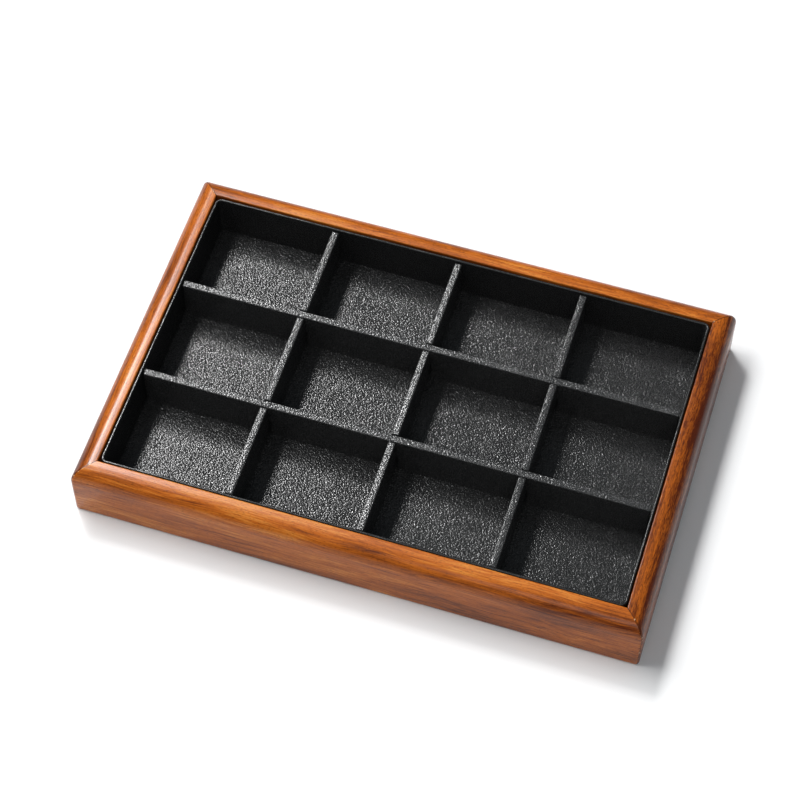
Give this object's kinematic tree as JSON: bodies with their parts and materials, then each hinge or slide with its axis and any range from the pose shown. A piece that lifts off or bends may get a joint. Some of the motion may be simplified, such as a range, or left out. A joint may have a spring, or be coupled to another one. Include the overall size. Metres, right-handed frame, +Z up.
{
  "type": "jewelry display tray",
  "caption": "Shallow rectangular display tray: a rounded, mitred wooden frame round a black leather-lined lift-out insert, divided into equal open compartments for small jewelry.",
  "frame": {"origin": "centre of the footprint, on the surface that the tray stands on", "axes": "+X along the tray's length to the right, -Y towards the front, +Z up"},
  "size_m": [0.24, 0.16, 0.028],
  "materials": {
    "stained_wood": "orange-brown stain, satin lacquer",
    "fibreboard": "raw fibreboard",
    "felt": "black felt",
    "card": "black-lined card, matte",
    "grey_board": "raw grey board, matte",
    "leather": "black grained leatherette"
  },
  "bodies": {
    "tray": {"rail_front": "stained_wood", "rail_back": "stained_wood", "rail_left": "stained_wood", "rail_right": "stained_wood", "base_panel": "fibreboard", "base_felt": "felt"},
    "insert": {"wall_card": "card", "wall_leather": "leather", "bottom_card": "card", "floor_leather": "leather", "long_divider_1_board": "grey_board", "long_divider_1_wrap": "leather", "long_divider_2_board": "grey_board", "long_divider_2_wrap": "leather", "cross_divider_1_board": "grey_board", "cross_divider_1_wrap": "leather", "cross_divider_2_board": "grey_board", "cross_divider_2_wrap": "leather", "cross_divider_3_board": "grey_board", "cross_divider_3_wrap": "leather"}
  },
  "joints": [
    {"name": "insert_lift", "type": "slide", "parent": "tray", "child": "insert", "axis": [0, 0, 1], "range_m": [0, 0.03]}
  ]
}
